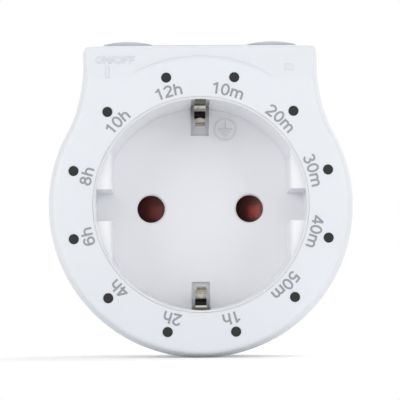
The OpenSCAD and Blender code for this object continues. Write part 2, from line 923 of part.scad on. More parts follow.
module shutter_spring() {
    sides = 6;
    rings = spring_turns * 9;
    color("silver") polyhedron(
        points = [for (j = [0:rings], i = [0:sides - 1]) coil_point(j / rings, 360 * i / sides)],
        faces = concat(
            [[for (i = [0:sides - 1]) i]],
            [for (j = [0:rings - 1], i = [0:sides - 1]) each [
                [j * sides + i, (j + 1) * sides + i, (j + 1) * sides + (i + 1) % sides],
                [j * sides + i, (j + 1) * sides + (i + 1) % sides, j * sides + (i + 1) % sides]]],
            [[for (i = [sides - 1:-1:0]) rings * sides + i]]
        )
    );
}

module contact_carrier() {
    rail_z = shutter_half_h + guide_gap;
    front = cup_back + touch;
    color("antiquewhite") union() {
        difference() {
            union() {
                block([-carrier_half_w - 3, carrier_plate, -rail_z - rail_t],
                    [carrier_half_w, carrier_back, rail_z + rail_t]);
                for (z = [rail_z, -rail_z - rail_t])
                    block([-carrier_half_w, front, z],
                        [carrier_half_w, carrier_plate + touch, z + rail_t]);
                block([shutter_left - 1.1, front + 0.1, -rail_z],
                    [shutter_left - slip, carrier_plate + touch, rail_z]);
                both_sides() rod(tower_out_r, [pole_x, 0], carrier_back - touch, carrier_back + tower_len);
                for (s = [-1, 1]) carrier_ear(s);
            }
            both_sides() {
                rod(contact_in_r + 0.4, [pole_x, 0], carrier_plate - over, carrier_back + over);
                rod(tower_in_r, [pole_x, 0], carrier_back, carrier_back + tower_len + over);
            }
            for (s = [-1, 1]) {
                rod(carrier_screw_r + slip, s * [-ear[0], ear[1]], cup_back, carrier_back + over);
                rod(ear_r + 0.2, s * [-ear[0], ear[1]], cup_back - over, cup_back + 3 + touch);
                rod(carrier_screw_head_r + 0.2, s * [-ear[0], ear[1]], cup_back + 4.6, carrier_back + over);
            }
        }
        // arm and stop of the shutter's spring
        block([carrier_half_w - touch, carrier_plate, -2.5], [stop_x + stop_t, carrier_back, 2.5]);
        block([stop_x, front + 0.1, -2.5], [stop_x + stop_t, carrier_plate + touch, 2.5]);
        translate([stop_x - 1.5, face_y + spring_depth, 0])
            rotate([0, 90, 0]) cylinder(r = spring_coil_r - spring_wire_r - 0.35, h = 1.5 + touch);
    }
}

// The ear that a carrier screw holds against the socket insert
module carrier_ear(s) {
    slab(cup_back + 3 + touch, carrier_back) {
        translate(s * [-ear[0], ear[1]]) circle(ear_r);
        translate([-s * ear[0] - ear_r, s > 0 ? 5 : -ear[1]]) square([2 * ear_r, ear[1] - 5]);
    }
}

module carrier_screws() {
    color("silver") for (s = [-1, 1]) spin(-s * ear[0], s * ear[1])
        polygon([[0, cup_back], [carrier_screw_r - 0.22, cup_back],
            [carrier_screw_r - 0.22, cup_back + 4.6 + touch],
            [carrier_screw_head_r, cup_back + 4.6 + touch],
            [carrier_screw_head_r, cup_back + 5.6], [0, cup_back + 5.6]]);
}

// A slit brass tube that grips a pin, with a side tab for its strip
module socket_contact() {
    difference() {
        union() {
            rod(contact_out_r, [pole_x, 0], carrier_back + touch, contact_back);
            block([pole_x + contact_in_r + 0.3, tab_front, -1.5], [strip_x - touch, tab_back, 1.5]);
        }
        rod(contact_in_r, [pole_x, 0], carrier_back - over, contact_back + over);
        block([pole_x - contact_out_r - over, carrier_back - over, -0.4], [pole_x, contact_back + over, 0.4]);
    }
}

module neutral_contact() {
    color("gold") socket_contact();
}

module live_contact() {
    color("gold") mirror([1, 0, 0]) socket_contact();
}

// A plug pin with its flange behind the end wall and its riveted tail
module plug_pin() {
    face = housing_depth + spigot_len;
    tip = face + pin_len;
    spin(pole_x) polygon([
        [0, eye_front - rivet_t], [2.1, eye_front - rivet_t], [2.1, eye_front - touch],
        [1.5, eye_front - touch], [1.5, eye_back + touch], [3.3, eye_back + touch],
        [3.3, pin_seat - touch], [pin_root_r, pin_seat - touch], [pin_root_r, face],
        [pin_r, face], [pin_r, tip - 1.2], [pin_r - 0.35, tip - 0.5],
        [pin_r - 1.1, tip], [0, tip]]);
}

module neutral_pin() {
    color("silver") plug_pin();
}

module live_pin() {
    color("silver") mirror([1, 0, 0]) plug_pin();
}

// The eye under a pin's rivet and the strip that leads forward from it
module pin_strip(front) {
    difference() {
        union() {
            block([pole_x - 2.4, eye_front, -strip_half_h], [strip_x + strip_t, eye_back, strip_half_h]);
            block([strip_x, front, -strip_half_h], [strip_x + strip_t, eye_back, strip_half_h]);
        }
        rod(1.55, [pole_x, 0], eye_front - over, eye_back + over);
    }
}

// The part of a strip that rises to the main board
module riser(d0, d1) {
    mid = (d0 + d1) / 2;
    block([strip_x, d0, -strip_half_h], [strip_x + strip_t, d1, board_z - touch]);
    block([strip_x, mid - 0.6, board_z - 0.1], [strip_x + strip_t, mid + 0.6, board_top + lead_through]);
}

// The slots in the board for the three risers, larger by c
module strip_tabs(c) {
    for (q = [[1, tab_front, tab_back], [-1, tab_front, tab_back], [-1, feed_front, feed_back]]) {
        mid = (q[1] + q[2]) / 2;
        x0 = q[0] > 0 ? strip_x : -strip_x - strip_t;
        block([x0 - c, mid - 0.6 - c, board_z - over], [x0 + strip_t + c, mid + 0.6 + c, board_top + over]);
    }
}

module neutral_link() {
    color("peru") union() {
        pin_strip(tab_front);
        riser(tab_front, tab_back);
    }
}

module live_feed_strip() {
    color("peru") mirror([1, 0, 0]) union() {
        pin_strip(feed_front);
        riser(feed_front, feed_back);
    }
}

module live_output_strip() {
    color("peru") mirror([1, 0, 0]) riser(tab_front, tab_back);
}

// ---- Earth path ----

module earth_strap() {
    color("silver") union() {
        for (s = [-1, 1]) slab(strap_front, strap_end)
            translate([-strap_w / 2, s > 0 ? strap_in_z : -strap_out_z]) square([strap_w, strap_t]);
        slab(link_front, link_front + strap_t)
            square([strap_w, 2 * strap_in_z + touch], center = true);
    }
}

// Side view of the leaf's inner line, from its tip round the nose to the strap
function leaf_line() = [[tip_depth, tip_z], [tip_depth + 0.7, tip_z - 0.75],
    [nose_depth - 3, nose_z + 1.45], [nose_depth - 1.4, nose_z + 0.38], [nose_depth, nose_z],
    [nose_depth + 2, nose_z + 0.02], [recess_depth - 2, strap_in_z - leaf_t - 0.1],
    [recess_depth, leaf_seat_z], [clip_back, leaf_seat_z]];

// The leaf's outer line, one thickness further out, measured across each bend
function leaf_back(p) = [for (i = [len(p) - 1:-1:0])
    let (
        a = p[max(0, i - 1)],
        b = p[min(len(p) - 1, i + 1)],
        t = (b - a) / norm(b - a))
    p[i] + leaf_t * [-t[1], t[0]]];

module earth_clip() {
    side(leaf_w) polygon(concat(leaf_line(), leaf_back(leaf_line())));
}

module earth_clip_top() {
    color("gold") earth_clip();
}

module earth_clip_bottom() {
    color("gold") mirror([0, 0, 1]) earth_clip();
}

// ---- Relay, drawn upright on its base and hung below the board ----

module relay_frame() {
    translate([relay_x, face_y + relay_mid, board_z]) mirror([0, 0, 1]) children();
}

// A box centred on x and reaching from y0 to y1 and z0 to z1
module relay_box(w, y0, y1, z0, z1) {
    translate([-w / 2, y0, z0]) cube([w, y1 - y0, z1 - z0]);
}

module relay_base() {
    inner_w = relay_w - 2 * relay_wall - 0.1;
    inner_l = relay_len / 2 - relay_wall - 0.05;
    color("darkslateblue") relay_frame() difference() {
        relay_box(inner_w, -inner_l, inner_l, touch, relay_base_t);
        for (t = terminals) translate([t[0], t[1], -over]) cylinder(r = 0.5, h = relay_base_t + 2 * over);
    }
}

module relay_cover() {
    half = relay_len / 2;
    color("royalblue") relay_frame() difference() {
        relay_box(relay_w, -half, half, touch, relay_h);
        relay_box(relay_w - 2 * relay_wall, -half + relay_wall, half - relay_wall,
            -over, relay_h - relay_wall);
    }
}

module relay_coil() {
    foot = relay_base_t + touch + yoke_t + touch;
    head = pole_z - 0.6 - touch;
    color("chocolate") relay_frame() translate([0, coil_y, 0]) rotate_extrude()
        polygon([[1.45, foot], [coil_r, foot], [coil_r, foot + 0.7], [coil_r - 0.6, foot + 0.7],
            [coil_r - 0.6, head - 0.7], [coil_r, head - 0.7], [coil_r, head], [1.45, head]]);
}

module relay_yoke() {
    foot = relay_base_t + touch;
    color("slategray") relay_frame() union() {
        relay_box(6, yoke_y, coil_y + 2.4, foot, foot + yoke_t);
        relay_box(6, yoke_y, yoke_y + yoke_t, foot, pole_z + 0.1);
        translate([0, coil_y, foot + 0.1]) cylinder(r = 1.4, h = pole_z - foot - 0.1);
        translate([0, coil_y, pole_z - 0.6]) cylinder(r = 2.4, h = 0.6);
    }
}

// The armature stands open at rest and closes on the pole through its angle
module relay_armature() {
    low = -yoke_t / 2;
    color("slategray") relay_frame() translate([0, hinge_y, hinge_z]) rotate([armature_angle, 0, 0])
    union() {
        relay_box(6, -yoke_t / 2, coil_y - hinge_y + 2.6, low, low + yoke_t);
        relay_box(3, 4, contact_y - hinge_y + 1.4, low + yoke_t - touch, low + yoke_t + 0.25);
        translate([0, contact_y - hinge_y, low + 0.2]) cylinder(r = 1.2, h = yoke_t);
    }
}

module relay_fixed_contact() {
    top = hinge_z - yoke_t / 2 + 0.2 - 0.06;
    foot = relay_base_t + touch;
    color("gold") relay_frame() union() {
        relay_box(3, contact_y - 1.4, contact_y + 2.6, top - 1.3, top - 0.7);
        relay_box(3, contact_y + 2, contact_y + 2.6, foot, top - 0.7);
        translate([0, contact_y, top - 0.8]) cylinder(r = 1.1, h = 0.8);
    }
}

module relay_terminals() {
    color("silver") relay_frame() for (t = terminals)
        translate([t[0], t[1], -board_t - lead_through])
            cylinder(r = 0.45, h = board_t + lead_through + relay_base_t);
}

// ---- Fasteners ----

module housing_screws() {
    head = screw_seat + screw_head_t;
    tip = screw_seat - screw_len;
    color("silver") for (s = screw_sites) spin(s[0], s[1])
        polygon([[0, tip], [0.4, tip], [pilot_r - touch, tip + 1.2],
            [pilot_r - touch, split_depth], [screw_r, split_depth + touch],
            [screw_r, screw_seat + touch], [screw_head_r, screw_seat + touch],
            [screw_head_r, head - 0.4], [screw_head_r - 0.4, head], [0, head]]);
}

front_cover();
rear_cover();
socket_insert();
button_bezel();
on_off_button();
timer_button();
led_windows();
led_board();
leds();
board_header();
main_board();
on_off_switch();
on_off_stem();
timer_switch();
timer_stem();
shutter();
shutter_spring();
contact_carrier();
carrier_screws();
live_contact();
neutral_contact();
live_pin();
neutral_pin();
neutral_link();
live_feed_strip();
live_output_strip();
earth_strap();
earth_clip_top();
earth_clip_bottom();
relay_base();
relay_cover();
relay_coil();
relay_yoke();
relay_armature();
relay_fixed_contact();
relay_terminals();
film_capacitor();
smoothing_capacitor();
varistor();
fuse_resistor();
controller_chip();
rectifier_diodes();
resistors();
housing_screws();
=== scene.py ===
"""Looks of the plug-in timer: materials, small parts, print, lights and camera.

Lengths are in millimetres of the part's own frame, and depths are counted from its face.
"""
import math

import bmesh
import bpy
from mathutils import Matrix, Vector


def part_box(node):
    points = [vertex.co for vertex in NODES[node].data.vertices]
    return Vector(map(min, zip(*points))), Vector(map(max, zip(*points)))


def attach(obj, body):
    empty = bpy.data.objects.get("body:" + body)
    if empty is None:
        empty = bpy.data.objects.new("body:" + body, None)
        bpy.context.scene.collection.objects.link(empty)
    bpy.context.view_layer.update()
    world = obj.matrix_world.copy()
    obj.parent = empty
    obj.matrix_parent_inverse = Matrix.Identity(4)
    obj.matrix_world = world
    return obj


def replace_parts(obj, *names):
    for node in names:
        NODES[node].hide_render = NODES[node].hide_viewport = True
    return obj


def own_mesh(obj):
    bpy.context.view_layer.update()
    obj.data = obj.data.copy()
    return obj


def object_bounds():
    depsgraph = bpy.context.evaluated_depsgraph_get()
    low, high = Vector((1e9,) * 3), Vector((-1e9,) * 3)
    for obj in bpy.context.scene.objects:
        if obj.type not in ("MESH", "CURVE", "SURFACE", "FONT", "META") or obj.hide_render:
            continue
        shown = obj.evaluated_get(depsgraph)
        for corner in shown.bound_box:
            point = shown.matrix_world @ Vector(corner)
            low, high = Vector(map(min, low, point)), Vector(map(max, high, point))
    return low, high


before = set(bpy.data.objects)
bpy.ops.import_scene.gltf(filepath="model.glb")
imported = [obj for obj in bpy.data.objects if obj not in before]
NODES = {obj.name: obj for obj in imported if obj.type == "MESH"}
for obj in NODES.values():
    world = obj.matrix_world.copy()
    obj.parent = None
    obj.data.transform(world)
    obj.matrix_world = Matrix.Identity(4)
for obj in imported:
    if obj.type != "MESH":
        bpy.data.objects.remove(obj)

CAD_BOX = [list(corner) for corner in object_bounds()]
MM = 0.001
FACE_Y = CAD_BOX[0][1] / MM
FLOOR_Z = CAD_BOX[0][2] / MM


def mm(*p):
    """A point written in millimetres, in the scene's metres."""
    return Vector([c * MM for c in p])


# ---- Building node trees ----

NOISE_RANGE = (0.3, 0.7)


def calc(tree, operation, *values):
    """A Math node that is fed by numbers or sockets."""
    n = tree.nodes.new("ShaderNodeMath")
    n.operation = operation
    for socket, value in zip(n.inputs, values):
        if isinstance(value, (int, float)):
            socket.default_value = value
        else:
            tree.links.new(value, socket)
    return n.outputs[0]


def picture_ray(tree):
    """1 for a ray that is seen, be it straight, mirrored or through glass, and 0 for the rest."""
    path = tree.nodes.new("ShaderNodeLightPath")
    seen = calc(tree, "MAXIMUM", path.outputs["Is Camera Ray"], path.outputs["Is Glossy Ray"])
    return calc(tree, "MAXIMUM", seen, path.outputs["Is Transmission Ray"])


class Nodes:
    """Short calls for building one material's node tree."""

    def __init__(self, name):
        self.mat = bpy.data.materials.new(name)
        self.mat.use_nodes = True
        self.tree = self.mat.node_tree
        self.shader = self.tree.nodes["Principled BSDF"]
        self.coords = self.add("ShaderNodeTexCoord").outputs["Object"]

    def add(self, kind):
        return self.tree.nodes.new(kind)

    def link(self, out, into):
        self.tree.links.new(out, into)

    def math(self, operation, *values):
        return calc(self.tree, operation, *values)

    def noise(self, scale, detail=2.0, rough=0.5, coords=None):
        n = self.add("ShaderNodeTexNoise")
        n.inputs["Scale"].default_value = scale
        n.inputs["Detail"].default_value = detail
        n.inputs["Roughness"].default_value = rough
        self.link(coords or self.coords, n.inputs["Vector"])
        return n.outputs["Fac"]

    def ramp(self, fac, stops):
        n = self.add("ShaderNodeValToRGB")
        while len(n.color_ramp.elements) < len(stops):
            n.color_ramp.elements.new(0.5)
        for e, (at, color) in zip(n.color_ramp.elements, stops):
            e.position = at
            e.color = (*color, 1)
        self.link(fac, n.inputs["Fac"])
        return n.outputs["Color"]

    def maprange(self, value, low, high, source=NOISE_RANGE):
        """Maps a value from its own range, a noise's if not given, onto low to high."""
        n = self.add("ShaderNodeMapRange")
        n.inputs["From Min"].default_value, n.inputs["From Max"].default_value = source
        n.inputs["To Min"].default_value = low
        n.inputs["To Max"].default_value = high
        self.link(value, n.inputs["Value"])
        return n.outputs["Result"]

    def step(self, value, at, fade, below=0, above=1):
        """One level below a place and another above it, with a soft passage on both its sides."""
        return self.maprange(value, below, above, (at - fade, at + fade))

    def axis(self, name):
        """One coordinate of the surface."""
        n = self.add("ShaderNodeSeparateXYZ")
        self.link(self.coords, n.inputs[0])
        return self.math("MULTIPLY", n.outputs[name], 1 / MM)

    def mix(self, fac, a, b):
        n = self.add("ShaderNodeMix")
        n.data_type = "RGBA"
        for socket, value in ((n.inputs[0], fac), (n.inputs[6], a), (n.inputs[7], b)):
            if isinstance(value, tuple):
                socket.default_value = (*value, 1)
            else:
                self.link(value, socket)
        return n.outputs[2]

    def soft_edges(self, radius):
        """A normal that rounds the sharp edges."""
        n = self.add("ShaderNodeBevel")
        n.samples = 6
        n.inputs["Radius"].default_value = radius * MM
        return n.outputs["Normal"]

    def bump(self, height, strength, distance, normal=None):
        n = self.add("ShaderNodeBump")
        n.inputs["Strength"].default_value = strength
        n.inputs["Distance"].default_value = distance * MM
        self.link(height, n.inputs["Height"])
        if normal:
            self.link(normal, n.inputs["Normal"])
        self.link(n.outputs["Normal"], self.shader.inputs["Normal"])


# ---- Materials ----

GLOW_RADIUS = (1.0, 0.95, 0.9)
GLOW_DEPTH = 1.2
# How far the edges of painted light and painted shade wander at random
PAINT_EDGE_WANDER = 0.12


def shade(rgb, factor):
    return tuple(min(1.0, c * factor) for c in rgb)


def plastic(name, rgb, rough=0.38, grain=0.05, mottle=0.02, specular=0.4, coat=0.0, glow=0,
            edge=0.12):
    """Moulded plastic: faint flow mottling, fine spark-eroded grain, varying gloss, soft edges."""
    n = Nodes(name)
    flow, gloss, fine = n.noise(90, 3), n.noise(600, 4), n.noise(9000, 2, 0.6)
    n.link(n.ramp(flow, [(0.3, shade(rgb, 1 - mottle)), (0.7, shade(rgb, 1 + mottle))]),
           n.shader.inputs["Base Color"])
    n.link(n.maprange(gloss, rough - 0.05, rough + 0.05), n.shader.inputs["Roughness"])
    n.bump(fine, grain, 0.02, n.soft_edges(edge) if edge else None)
    n.shader.inputs["Specular IOR Level"].default_value = specular
    n.shader.inputs["Coat Weight"].default_value = coat
    if glow:
        n.shader.inputs["Subsurface Weight"].default_value = glow
        n.shader.inputs["Subsurface Radius"].default_value = GLOW_RADIUS
        n.shader.inputs["Subsurface Scale"].default_value = GLOW_DEPTH * MM
    return n.mat


def metal(name, rgb, rough=0.28, brush=(1, 1, 1), depth=0.15, stain=0.06):
    """Plated or rolled metal: brushed along one way, with slight stains."""
    n = Nodes(name)
    mapping = n.add("ShaderNodeMapping")
    mapping.inputs["Scale"].default_value = brush
    n.link(n.coords, mapping.inputs["Vector"])
    stains, lines = n.noise(300, 5, 0.6), n.noise(9000, 3, 0.7, mapping.outputs["Vector"])
    n.link(n.ramp(stains, [(0.35, shade(rgb, 1 - stain)), (0.65, shade(rgb, 1 + stain))]),
           n.shader.inputs["Base Color"])
    n.link(n.maprange(lines, rough - 0.07, rough + 0.09), n.shader.inputs["Roughness"])
    n.bump(lines, depth, 0.01, n.soft_edges(0.08))
    n.shader.inputs["Metallic"].default_value = 1.0
    return n.mat


# Each patch of painted light behind a pin hole: the hole's place along X and the patch's strength,
# lower at the left hole, which is painted as lying more in shade
PATCHES = ((-9.5, 0.4), (9.5, 1.0))
# Where a patch lies from its hole's axis, and how softly it ends
PATCH_X = (-0.25, 2.0)
PATCH_Z = (-1.6, 0.7)
PATCH_FADE = 0.3


def shutter_material():
    """Brown-red moulding; its patches stand in for the light that its slopes have in the photo."""
    n = Nodes("shutter_red")
    wander = n.maprange(n.noise(900, 3), -PAINT_EDGE_WANDER, PAINT_EDGE_WANDER)

    def between(value, low, high):
        value = n.math("ADD", value, wander)
        return n.math("MINIMUM", n.step(value, low, PATCH_FADE),
                      n.step(value, high, PATCH_FADE, below=1, above=0))

    low, high = PATCH_X
    across = [n.math("MULTIPLY", between(n.axis("X"), hole + low, hole + high), strength)
              for hole, strength in PATCHES]
    patch = n.math("MULTIPLY", n.math("MAXIMUM", *across), between(n.axis("Z"), *PATCH_Z))
    dark = n.ramp(n.noise(400, 4), [(0.3, (0.15, 0.047, 0.038)), (0.7, (0.19, 0.057, 0.046))])
    # dark is the moulding's own colour; light is the painted highlight colour of the patches
    light = n.ramp(n.noise(700, 3), [(0.3, (0.40, 0.075, 0.058)), (0.7, (0.48, 0.090, 0.070))])
    n.link(n.mix(patch, dark, light), n.shader.inputs["Base Color"])
    n.link(n.maprange(patch, 0.42, 0.24, (0, 1)), n.shader.inputs["Roughness"])
    n.bump(n.noise(9000, 2, 0.6), 0.08, 0.02, n.soft_edges(0.1))
    return n.mat


def winding_material():
    """Enamelled wire wound tightly round the coil."""
    n = Nodes("winding")
    wave = n.add("ShaderNodeTexWave")
    wave.wave_type = "BANDS"
    wave.bands_direction = "Z"
    wave.inputs["Scale"].default_value = 1600
    wave.inputs["Distortion"].default_value = 0.6
    n.link(n.coords, wave.inputs["Vector"])
    n.link(n.ramp(wave.outputs["Fac"], [(0, (0.16, 0.04, 0.015)), (1, (0.60, 0.22, 0.08))]),
           n.shader.inputs["Base Color"])
    n.bump(wave.outputs["Fac"], 0.6, 0.06)
    n.shader.inputs["Metallic"].default_value = 0.6
    n.shader.inputs["Roughness"].default_value = 0.3
    return n.mat


def board_material():
    """Green solder mask over faint copper tracks."""
    n = Nodes("solder_mask")
    tracks = n.add("ShaderNodeTexVoronoi")
    tracks.feature = "DISTANCE_TO_EDGE"
    tracks.distance = "MANHATTAN"
    tracks.inputs["Scale"].default_value = 260
    n.link(n.coords, tracks.inputs["Vector"])
    away = tracks.outputs["Distance"]
    n.link(n.ramp(away, [(0.04, (0.05, 0.22, 0.07)), (0.06, (0.012, 0.10, 0.03))]),
           n.shader.inputs["Base Color"])
    n.link(n.maprange(n.noise(900, 3), 0.25, 0.4), n.shader.inputs["Roughness"])
    n.bump(away, 0.2, 0.04)
    return n.mat


WHITE = plastic("white_shell", (0.815, 0.840, 0.882), rough=0.42, grain=0.06, mottle=0.006,
                specular=0.35, glow=0.12, edge=0.2)
INSERT = plastic("white_insert", (0.915, 0.925, 0.96), rough=0.33, grain=0.03, mottle=0.006,
                 specular=0.4, glow=0.35, edge=0.15)
GREY = plastic("grey_surround", (0.39, 0.41, 0.46), rough=0.45, grain=0.08, mottle=0.02)
BUTTON = plastic("grey_button", (0.575, 0.605, 0.665), rough=0.5, grain=0.1, mottle=0.02)
SMOKED = plastic("smoked_window", (0.016, 0.016, 0.017), rough=0.18, grain=0.02, mottle=0.1,
                 specular=0.4, edge=0.1)
LED = plastic("led_resin", (0.90, 0.86, 0.62), rough=0.2, grain=0.02, mottle=0.05)
BLACK = plastic("black_moulding", (0.02, 0.02, 0.022), rough=0.45, grain=0.1, mottle=0.15)
NATURAL = plastic("natural_nylon", (0.78, 0.76, 0.70), rough=0.4, grain=0.08, glow=0.1)
RELAY_BLUE = plastic("relay_blue", (0.012, 0.05, 0.20), rough=0.4, grain=0.1, mottle=0.1)
YELLOW = plastic("film_yellow", (0.62, 0.40, 0.03), rough=0.35, grain=0.08, mottle=0.06)
SLEEVE = plastic("capacitor_sleeve", (0.01, 0.015, 0.06), rough=0.3, grain=0.03, mottle=0.1,
                 coat=0.4)
VARISTOR = plastic("varistor_dip", (0.01, 0.05, 0.32), rough=0.25, grain=0.3, mottle=0.1,
                   coat=0.3)
CEMENT = plastic("fuse_cement", (0.10, 0.24, 0.13), rough=0.7, grain=0.6, mottle=0.12)
LACQUER = plastic("resistor_lacquer", (0.60, 0.42, 0.20), rough=0.35, grain=0.3, mottle=0.08)
INK = plastic("grey_print", (0.35, 0.35, 0.37), rough=0.6, grain=0.15, mottle=0.03,
              specular=0.2, edge=0)
BRASS = metal("brass", (0.78, 0.55, 0.22), rough=0.3, brush=(1, 0.1, 1))
NICKEL = metal("pin_nickel", (0.66, 0.64, 0.60), rough=0.2, brush=(1, 0.06, 1), depth=0.1)
COPPER = metal("copper_strip", (0.80, 0.42, 0.25), rough=0.35, brush=(1, 0.1, 1))
STEEL = metal("zinc_steel", (0.52, 0.53, 0.55), rough=0.32)
EARTH = metal("earth_nickel", (0.62, 0.60, 0.56), rough=0.3, brush=(1, 0.06, 1))
BOARD = board_material()

LOOKS = {
    "front_cover": WHITE, "rear_cover": WHITE, "socket_insert": INSERT, "button_bezel": GREY,
    "on_off_button": BUTTON, "timer_button": BUTTON, "led_windows": SMOKED, "leds": LED,
    "board_header": BLACK, "on_off_switch": BLACK, "timer_switch": BLACK,
    "controller_chip": BLACK, "rectifier_diodes": BLACK, "on_off_stem": NATURAL,
    "timer_stem": NATURAL, "contact_carrier": NATURAL, "shutter": shutter_material(),
    "shutter_spring": STEEL, "carrier_screws": STEEL, "housing_screws": STEEL,
    "live_contact": BRASS, "neutral_contact": BRASS, "relay_fixed_contact": BRASS,
    "earth_clip_top": BRASS, "earth_clip_bottom": BRASS, "live_pin": NICKEL,
    "neutral_pin": NICKEL, "neutral_link": COPPER, "live_feed_strip": COPPER,
    "live_output_strip": COPPER, "earth_strap": EARTH, "relay_base": BLACK,
    "relay_cover": RELAY_BLUE, "relay_yoke": STEEL, "relay_armature": STEEL,
    "relay_terminals": STEEL, "film_capacitor": YELLOW, "smoothing_capacitor": SLEEVE,
    "varistor": VARISTOR, "fuse_resistor": CEMENT, "resistors": LACQUER,
    "relay_coil": winding_material(), "led_board": BOARD, "main_board": BOARD,
}
SMOOTH_ANGLE = math.radians(28)


def dress(obj, material):
    """Gives one object a single material."""
    obj.data.materials.clear()
    obj.data.materials.append(material)


def smooth(mesh):
    """Shades a mesh smooth but for its sharp edges."""
    mesh.shade_smooth()
    mesh.set_sharp_from_angle(angle=SMOOTH_ANGLE)


for name, material in LOOKS.items():
    dress(NODES[name], material)
    smooth(NODES[name].data)


# ---- Making pieces ----


def new_object(name, bm, material):
    """Turns a bmesh drawn in millimetres into an object of the scene."""
    bmesh.ops.scale(bm, vec=(MM, MM, MM), verts=bm.verts)
    mesh = bpy.data.meshes.new(name)
    bm.to_mesh(mesh)
    bm.free()
    obj = bpy.data.objects.new(name, mesh)
    bpy.context.scene.collection.objects.link(obj)
    dress(obj, material)
    return obj


def piece(name, bm, material, body="housing"):
    """Turns a closed bmesh into a piece that rides on a body."""
    bmesh.ops.recalc_face_normals(bm, faces=bm.faces)
    obj = new_object(name, bm, material)
    smooth(obj.data)
    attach(obj, body)
    return obj


def skin(bm, rows):
    """Joins each ring of points to the next by a band of faces."""
    count = len(rows[0])
    for a, b in zip(rows, rows[1:]):
        for i in range(count):
            j = (i + 1) % count
            bm.faces.new((a[i], a[j], b[j], b[i]))


def solid(bm, rows, closed=False):
    """Skins a row of rings and caps both ends or, if closed, joins the last ring to the first."""
    if closed:
        skin(bm, rows + rows[:1])
    else:
        skin(bm, rows)
        bm.faces.new(rows[0])
        bm.faces.new(rows[-1])


def ribbon(bm, line, width, place, low, high):
    """A solid strip along a flat line; place(u, v, height) puts a point of it in space."""
    closed = math.dist(line[0], line[-1]) < 1e-4
    points = [Vector(p) for p in (line[:-1] if closed else line)]
    count = len(points)
    rows = []
    for i, p in enumerate(points):
        before = points[i - 1] if closed or i > 0 else None
        after = points[(i + 1) % count] if closed or i < count - 1 else None
        out = (after - p).normalized() if after else (p - before).normalized()
        into = (p - before).normalized() if before else out
        along = (into + out).normalized()
        across = Vector((-along.y, along.x)) * width / 2 / along.dot(out)
        a, b = p + across, p - across
        ring = [(a, low), (b, low), (b, high), (a, high)]
        rows.append([bm.verts.new(place(q.x, q.y, h)) for q, h in ring])
    solid(bm, rows, closed)


# ---- Letters, drawn as pen strokes in units of the letter size ----

ARC_STEP = 12


def arc(x, y, rx, ry, start, end):
    """Points along an upright ellipse from one angle to another, in degrees."""
    steps = max(4, round(abs(end - start) / ARC_STEP))
    turns = [math.radians(start + (end - start) * i / steps) for i in range(steps + 1)]
    return [(x + rx * math.cos(t), y + ry * math.sin(t)) for t in turns]


NARROW, WIDE = 0.556, 0.833
# Each letter's advance and its strokes
GLYPHS = {
    "0": (NARROW, [arc(0.278, 0.354, 0.192, 0.318, 0, 360)]),
    "1": (NARROW, [[(0.337, 0), (0.337, 0.716)], [(0.337, 0.665), (0.26, 0.60), (0.125, 0.535)]]),
    "2": (NARROW, [arc(0.275, 0.505, 0.185, 0.168, 172, -30) + [(0.34, 0.31), (0.11, 0.09)],
                   [(0.035, 0.044), (0.50, 0.044)]]),
    "3": (NARROW, [arc(0.265, 0.53, 0.155, 0.145, 158, -90),
                   arc(0.268, 0.212, 0.186, 0.18, 90, -160)]),
    "4": (NARROW, [[(0.385, 0), (0.385, 0.716)], [(0.36, 0.67), (0.07, 0.215)],
                   [(0.025, 0.207), (0.525, 0.207)]]),
    "5": (NARROW, [[(0.14, 0.668), (0.475, 0.668)], [(0.172, 0.70), (0.122, 0.36)],
                   arc(0.272, 0.235, 0.188, 0.192, 140, -158)]),
    "6": (NARROW, [arc(0.285, 0.232, 0.187, 0.19, 0, 360),
                   arc(0.298, 0.36, 0.204, 0.312, 32, 185) + [(0.097, 0.25)]]),
    "8": (NARROW, [arc(0.278, 0.53, 0.148, 0.143, 0, 360),
                   arc(0.278, 0.21, 0.187, 0.172, 0, 360)]),
    "h": (NARROW, [[(0.11, 0), (0.11, 0.716)],
                   arc(0.278, 0.31, 0.167, 0.168, 175, 0) + [(0.445, 0)]]),
    "m": (WIDE, [[(0.11, 0), (0.11, 0.519)],
                 arc(0.263, 0.33, 0.153, 0.148, 176, 0) + [(0.416, 0)],
                 arc(0.569, 0.33, 0.153, 0.148, 176, 0) + [(0.722, 0)]]),
    "O": (0.778, [arc(0.389, 0.358, 0.295, 0.318, 0, 360)]),
    "N": (0.722, [[(0.12, 0), (0.12, 0.716)], [(0.12, 0.68), (0.60, 0.04)],
                  [(0.60, 0), (0.60, 0.716)]]),
    "F": (0.611, [[(0.13, 0), (0.13, 0.716)], [(0.13, 0.672), (0.56, 0.672)],
                  [(0.13, 0.37), (0.50, 0.37)]]),
    "/": (0.278, [[(0.02, -0.01), (0.258, 0.726)]]),
}
CAP_MIDDLE = 0.358
# Strokes of one letter end at slightly different heights, so that their tops never coincide
STROKE_STEP = 0.0006


def word_width(word):
    return sum(GLYPHS[letter][0] for letter in word)


def letter_strokes(letter, size, x=0.0):
    """A letter's strokes, centred on its advance and on the capitals' middle."""
    advance, strokes = GLYPHS[letter]
    return [[(x + (u - advance / 2) * size, (v - CAP_MIDDLE) * size) for u, v in line]
            for line in strokes]


# ---- Times printed round the face ----

# Each word and its angle in degrees, clockwise from the top
TIMES = [("10m", 13.5), ("20m", 43.15), ("30m", 73.45), ("40m", 103.9), ("50m", 134.2),
         ("1h", 165.3), ("2h", 194.6), ("4h", 224.5), ("6h", 254.4), ("8h", 284.2),
         ("10h", 314.9), ("12h", 344.2)]
LABEL_R = 21.9
LABEL_SIZE = 3.0
LABEL_STROKE = 0.375
LABEL_SPREAD = 1.09
INK_SUNK = -0.02
INK_PROUD = 0.002


